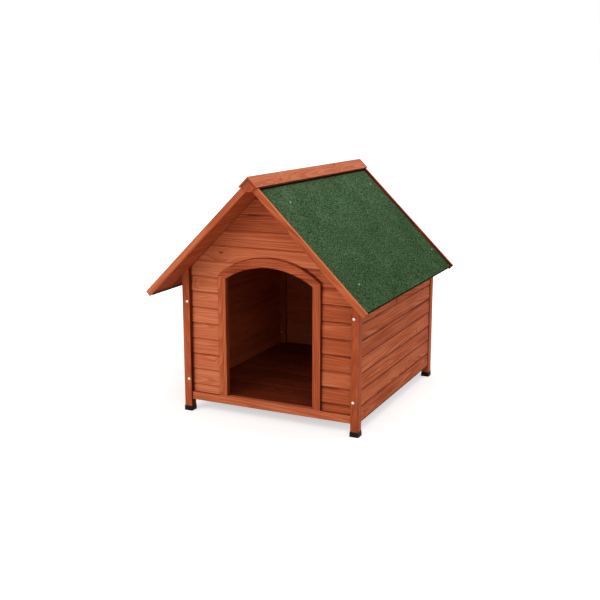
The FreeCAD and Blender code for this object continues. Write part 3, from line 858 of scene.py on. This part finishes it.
# Beside the cap and the verge the felt is painted bitumen black in a ragged band: painted
# shade under their edges.
ragged_shade_edge = s.times(clumps, 0.004)
clear_of_cap_shade = s.ease(s.add(down_slope, ragged_shade_edge), CAP_WIDTH + 0.0005, CAP_WIDTH + 0.0065)
clear_of_verge_shade = s.ease(
    s.add(side_y, ragged_shade_edge), FRONT_VERGE_BACK - 0.0005, FRONT_VERGE_BACK - 0.0045
)
faces_up = s.split(s.nodes.new("ShaderNodeNewGeometry").outputs["Normal"])[2]
slate_not_shaded = s.times(s.math("GREATER_THAN", faces_up, 0.2), s.times(clear_of_cap_shade, clear_of_verge_shade))
mixed = s.nodes.new("ShaderNodeMix")
mixed.data_type = "RGBA"
s.links.new(slate_not_shaded, mixed.inputs["Factor"])
mixed.inputs["A"].default_value = (*screen_colour(32, 25, 18), 1)
s.links.new(mineral, mixed.inputs["B"])
s.links.new(mixed.outputs["Result"], shine.inputs["Base Color"])
shine.inputs["Specular IOR Level"].default_value = 0.0
s.links.new(s.add(s.times(grain_dice, 0.25), 0.68), shine.inputs["Roughness"])
grit = s.add(s.times(grains.outputs["Distance"], -1.0), clumps)
s.links.new(s.bump(grit, 0.8, 0.0006), shine.inputs["Normal"])
finish_nodes(roof_felt, "roof_felt_left", "roof_felt_right")


# ---------------------------------------------------------------- verge boards
# A narrow board closes each raking end of a panel and runs on past the eaves,
# standing a little above the felt.
ROOF_PLANE = ROOF_APEX * outward.z
# A dark top edge on the left verges is painted shade, a pale one on the right verges a
# painted highlight.
SHADED_TOP = (0.40, (tuple(outward), ROOF_PLANE - 0.0026, ROOF_PLANE + 0.0006))
HIGHLIT_TOP = (
    -0.46, (tuple(outward), ROOF_PLANE - 0.0006, ROOF_PLANE + 0.0006),
    (DEEPWISE, VERGE_FACE - 0.0055, VERGE_FACE + 0.001),
)

# The left verges are paler than the right ones as painted light; their faces against the
# felt are darkened as painted shade.
for side, density, top_edge in (("left", 0.48, SHADED_TOP), ("right", 0.67, HIGHLIT_TOP)):
    verge_stain = stained_timber(
        side + "_verge_stain", tuple(downhill), tuple(outward), DEEPWISE,
        middle=tuple(on_roof(0.35, 0.012, 0)), fold=(1, 1, 0), piece=331.0,
        density=density, knots=0.06,
        shade_and_highlight=[
            top_edge,
            (0.30, (DEEPWISE, FRONT_VERGE_BACK - 0.0007, FRONT_VERGE_BACK + 0.0007)),
            (0.30, (DEEPWISE, REAR_VERGE_BACK - 0.0007, REAR_VERGE_BACK + 0.0007)),
        ],
    )
    finish_nodes(verge_stain, "front_verge_" + side, "rear_verge_" + side)


# --------------------------------------------------------- ridge beam and cap
# The panels meet on a five-sided ridge beam, covered by two thin strips that
# are mitred along the ridge and lap over the felt.
beam_stain = stained_timber(
    "beam_stain", DEEPWISE, LENGTHWISE, UPWARDS,
    middle=(0, 0, 0.96), piece=351.0, density=0.56, knots=0.1, end_grain=DEEPWISE,
    # A dark band where the cap sits on the beam is painted shade.
    shade_and_highlight=[(0.40, (tuple(outward), ROOF_PLANE - 0.003, ROOF_PLANE + 0.001))],
)
finish_nodes(beam_stain, "ridge_beam")
CAP_EDGE = CAP_WIDTH - ROOF_APEX * outward.x
CAP_MITRE = -cad_box[1][2] * outward.x
cap_stain = stained_timber(
    "cap_stain", DEEPWISE, tuple(downhill), tuple(outward),
    middle=tuple(on_roof(0.024, -0.003, 0)), fold=(1, 0, 0), piece=361.0,
    density=0.41, knots=0.06, end_grain=DEEPWISE,
    # The cap's lower edge face is darkened as painted shade; a dark line also runs along
    # the mitre.
    shade_and_highlight=[
        (0.55, (tuple(downhill), CAP_EDGE - 0.0006, CAP_EDGE + 0.0006)),
        (0.45, (tuple(downhill), CAP_MITRE - 0.001, CAP_MITRE + 0.0016)),
    ],
)
finish_nodes(cap_stain, "ridge_cap_left", "ridge_cap_right")


# -------------------------------------------------------------- bolts and nuts
# Zinc-plated button-head bolts, driven with a hexagon key, run through each
# post and its cleat; a bright nut with a little thread shows on the inside.
zinc_plate, s, shine, where = new_finish("zinc_plate")
spangle = s.cloud(where, 0.0, 420.0, 3.0, 0.6)
shine.inputs["Metallic"].default_value = 1.0
plated = s.ramp(
    s.add(spangle, 0.5),
    [(0.2, screen_colour(182, 178, 170)), (0.8, screen_colour(232, 230, 224))],
)
s.links.new(plated, shine.inputs["Base Color"])
s.links.new(s.add(s.times(spangle, 0.3), 0.32), shine.inputs["Roughness"])
s.links.new(s.bump(spangle, 0.3, 0.00005), shine.inputs["Normal"])


def turned(name, rings, sides=24):
    """A shape turned about Z from rings of (radius, height), in millimetres.

    A radius may be a function of the angle, for a hexagon or a cross slot.
    """
    skin = bmesh.new()
    loops = []
    for radius, height in rings:
        loop = []
        for i in range(sides):
            angle = 2 * math.pi * i / sides
            reach = radius(angle) if callable(radius) else radius
            loop.append(skin.verts.new((
                reach * math.cos(angle) / 1000, reach * math.sin(angle) / 1000,
                height / 1000,
            )))
        loops.append(loop)
    for low, high in zip(loops, loops[1:]):
        for i in range(sides):
            j = (i + 1) % sides
            skin.faces.new((low[i], low[j], high[j], high[i]))
    skin.faces.new(loops[-1])
    skin.faces.new(reversed(loops[0]))
    mesh = bpy.data.meshes.new(name)
    skin.to_mesh(mesh)
    skin.free()
    mesh.shade_smooth()
    mesh.set_sharp_from_angle(angle=math.radians(32))
    return bpy.data.objects.new(name, mesh)


def hexagon(across_flats):
    """Radius of a hexagon at an angle."""
    def radius(angle):
        off = (angle + math.pi / 6) % (math.pi / 3) - math.pi / 6
        return across_flats / 2 / math.cos(off)
    return radius


def chamfered(outline, limit):
    """Radius of an outline whose corners are turned off."""
    return lambda angle: min(outline(angle), limit)


# Copies of one shape stand on marked points; each looks its own way and is
# turned by chance, as a driver leaves it.
set_in_place = bpy.data.node_groups.new("set_in_place", "GeometryNodeTree")
for label, kind in (
    ("Marks", "Geometry"), ("Shape", "Object"), ("Finish", "Material"), ("Chance", "Int"),
):
    set_in_place.interface.new_socket(
        label, in_out="INPUT", socket_type="NodeSocket" + kind
    )
set_in_place.interface.new_socket(
    "Pieces", in_out="OUTPUT", socket_type="NodeSocketGeometry"
)
nodes, links = set_in_place.nodes, set_in_place.links
given, made = nodes.new("NodeGroupInput"), nodes.new("NodeGroupOutput")
shape = nodes.new("GeometryNodeObjectInfo")
looks = nodes.new("GeometryNodeInputNamedAttribute")
looks.data_type = "FLOAT_VECTOR"
looks.inputs["Name"].default_value = "looks"
upright = nodes.new("FunctionNodeAlignRotationToVector")
upright.axis = "Z"
chance = nodes.new("FunctionNodeRandomValue")
chance.data_type = "FLOAT"
spin = nodes.new("ShaderNodeCombineXYZ")
as_turn = nodes.new("FunctionNodeEulerToRotation")
turn = nodes.new("FunctionNodeRotateRotation")
turn.rotation_space = "LOCAL"
copies = nodes.new("GeometryNodeInstanceOnPoints")
real = nodes.new("GeometryNodeRealizeInstances")
finish = nodes.new("GeometryNodeSetMaterial")
spin_amount = [i for i in chance.inputs if i.name == "Max" and i.type == "VALUE"][0]
spin_amount.default_value = 2 * math.pi
links.new(given.outputs["Shape"], shape.inputs["Object"])
links.new(looks.outputs["Attribute"], upright.inputs["Vector"])
links.new(given.outputs["Chance"], chance.inputs["Seed"])
links.new([o for o in chance.outputs if o.type == "VALUE"][0], spin.inputs["Z"])
links.new(spin.outputs[0], as_turn.inputs[0])
links.new(upright.outputs[0], turn.inputs["Rotation"])
links.new(as_turn.outputs[0], turn.inputs["Rotate By"])
links.new(given.outputs["Marks"], copies.inputs["Points"])
links.new(shape.outputs["Geometry"], copies.inputs["Instance"])
links.new(turn.outputs[0], copies.inputs["Rotation"])
links.new(copies.outputs[0], real.inputs[0])
links.new(real.outputs[0], finish.inputs["Geometry"])
links.new(given.outputs["Finish"], finish.inputs["Material"])
links.new(finish.outputs[0], made.inputs["Pieces"])


def set_fasteners(name, shape, marks, material, chance, *replaced):
    """One plain mesh of a shape set on marks of (place, way it looks)."""
    points = bpy.data.meshes.new(name)
    points.from_pydata([place for place, way in marks], [], [])
    ways = points.attributes.new("looks", "FLOAT_VECTOR", "POINT")
    for entry, (place, way) in zip(ways.data, marks):
        entry.vector = way
    piece = bpy.data.objects.new(name, points)
    bpy.context.scene.collection.objects.link(piece)
    modifier = piece.modifiers.new("set_in_place", "NODES")
    modifier.node_group = set_in_place
    values = {"Shape": shape, "Finish": material, "Chance": chance}
    for socket in set_in_place.interface.items_tree:
        if socket.name in values and socket.in_out == "INPUT":
            modifier[socket.identifier] = values[socket.name]
    evaluated = piece.evaluated_get(bpy.context.evaluated_depsgraph_get())
    solid = bpy.data.meshes.new_from_object(evaluated)
    piece.modifiers.clear()
    piece.data = solid
    solid.name = name
    bpy.data.objects.remove(shape)
    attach(piece, "root")
    if replaced:
        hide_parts(*replaced)


BOLT_X = 0.3645
BOLT_HEIGHTS = (0.137, 0.465)
FRONT_POST_FACE, REAR_POST_FACE = -0.405, 0.508
FRONT_CLEAT_BACK, REAR_CLEAT_BACK = -0.352, 0.455
FORWARDS, BACKWARDS = (0, -1, 0), (0, 1, 0)
key_socket = hexagon(4.0)
thread = [(2.60 if i % 2 else 2.98, -59.4 + 0.5 * i) for i in range(17)]
button_bolt = turned("button_bolt", [
    (2.2, -60.0), *thread, (3.0, -50.0), (3.0, 0.0), (6.35, 0.0), (6.5, 0.25), (6.5, 0.7),
    (6.1, 1.5), (5.3, 2.45), (4.3, 3.2), (3.4, 3.52), (2.9, 3.6), (key_socket, 3.45),
    (key_socket, 1.5), (0.6, 1.2),
])
nut_flats = hexagon(10.0)
nut_end = chamfered(nut_flats, 5.2)
hexagon_nut = turned("hexagon_nut", [
    (nut_end, 0.0), (nut_flats, 0.45), (nut_flats, 4.55), (nut_end, 5.0),
    (3.5, 5.0), (3.05, 4.5), (3.05, 4.0),
])
bolt_places = [(x, z) for x in (-BOLT_X, BOLT_X) for z in BOLT_HEIGHTS]
set_fasteners(
    "bolts_with_button_heads", button_bolt,
    [((x, FRONT_POST_FACE, z), FORWARDS) for x, z in bolt_places]
    + [((x, REAR_POST_FACE, z), BACKWARDS) for x, z in bolt_places],
    zinc_plate, 3, "post_bolts",
)
set_fasteners(
    "nuts_on_cleats", hexagon_nut,
    [((x, FRONT_CLEAT_BACK, z), BACKWARDS) for x, z in bolt_places]
    + [((x, REAR_CLEAT_BACK, z), FORWARDS) for x, z in bolt_places],
    zinc_plate, 5, "bolt_nuts",
)


# ----------------------------------------------------------------- roof screws
# Four pan-head screws with a cross slot hold each roof panel down through the
# felt.  Their plating is duller than the bolts'.
SCREW_PLACES = ((0.541, -0.393), (0.541, 0.496), (0.130, -0.370), (0.130, 0.473))
FELT_BELOW = 0.011


def replated(name, dark, light):
    """The bolts' plating in another tone."""
    plate = zinc_plate.copy()
    plate.name = name
    tones = [n for n in plate.node_tree.nodes if n.type == "VALTORGB"][0].color_ramp
    for element, tone in zip(tones.elements, (dark, light)):
        element.color = (*tone, 1)
    return plate


def cross_slot(reach, half_width):
    """Radius of a cross-shaped slot at an angle."""
    def radius(angle):
        c = max(abs(math.cos(angle)), 1e-6)
        n = max(abs(math.sin(angle)), 1e-6)
        return max(
            min(reach / c, half_width / n), min(reach / n, half_width / c)
        )
    return radius


def slope_mark(down, below, y, side):
    """A mark on the right (1) or left (-1) slope, and the way it looks."""
    place = on_roof(down, below, y)
    return (side * place.x, y, place.z), (side * outward.x, 0, outward.z)


slot_mouth, slot_floor = cross_slot(2.1, 0.62), cross_slot(1.0, 0.35)
pan_screw = turned("pan_screw", [
    (0.4, -30.0), (1.9, -26.0), (2.0, 0.0), (4.35, 0.0), (4.5, 0.3), (4.35, 1.0),
    (3.8, 1.8), (3.0, 2.25), (slot_mouth, 2.4), (slot_floor, 0.9), (0.1, 0.8),
])
set_fasteners(
    "screws_through_felt", pan_screw,
    [
        slope_mark(down, FELT_BELOW, y, side)
        for down, y in SCREW_PLACES for side in (-1, 1)
    ],
    replated("dull_zinc", screen_colour(112, 116, 104), screen_colour(160, 166, 150)),
    7, "roof_screws",
)


# ----------------------------------------------------------------------- nails
# Bright broad-headed nails hold the ridge strips.  Small ones, browned by the
# stain, hold the side boards to the cleats, the floor boards and the verges.
CAP_NAILS, CAP_NAIL_ENDS, CAP_NAIL_DOWN, CAP_ABOVE = 5, 0.5025, 0.040, 0.006
cap_nail = turned("cap_nail", [(1.5, -0.8), (2.1, 0.0), (2.0, 0.25), (1.2, 0.40)], 12)
cap_marks = [
    slope_mark(
        CAP_NAIL_DOWN, -CAP_ABOVE,
        -CAP_NAIL_ENDS + 2 * CAP_NAIL_ENDS * step / (CAP_NAILS - 1), side,
    )
    for side in (-1, 1) for step in range(CAP_NAILS)
]
set_fasteners("cap_nails", cap_nail, cap_marks, zinc_plate, 13)

NAIL_UP = 0.018
BOARD_BACK, BUTT_THICKNESS, TAPER = 0.3745, 0.009, 0.0035
CLEAT_NAILS = (-0.362, 0.465)
VERGE_NAILS, VERGE_DEPTH = (0.060, 0.256, 0.453, 0.640), 0.0175
VERGE_ENDS = ((-0.5405, FORWARDS), (0.5465, BACKWARDS))
FLOOR_NAILS = (-0.355, 0.0, 0.355)

nail = turned("nail", [(1.1, -0.8), (1.35, 0.0), (1.30, 0.18), (0.8, 0.30)], 12)
nail_marks = []
for side in (-1, 1):
    for course in range(COURSES):
        up = WALL_FOOT + COVER * course + NAIL_UP
        face = BOARD_BACK + BUTT_THICKNESS - TAPER * NAIL_UP / COVER
        for y in CLEAT_NAILS:
            nail_marks.append(((side * face, y, up), (side, 0, 0)))
    for down in VERGE_NAILS:
        for y, way in VERGE_ENDS:
            nail_marks.append((slope_mark(down, VERGE_DEPTH, y, side)[0], way))
# The first and last floor boards are notched at their ends: no nail goes there.
for number in range(FLOOR_COUNT):
    y = FLOOR_FRONT + FLOOR_BOARD * (number + 0.5)
    for x in FLOOR_NAILS:
        if x == 0.0 or 0 < number < FLOOR_COUNT - 1:
            nail_marks.append(((x, y, FLOOR_TOP), (0, 0, 1)))
set_fasteners(
    "nails", nail, nail_marks,
    replated("nail_steel", screen_colour(112, 84, 66), screen_colour(168, 140, 118)), 11,
)
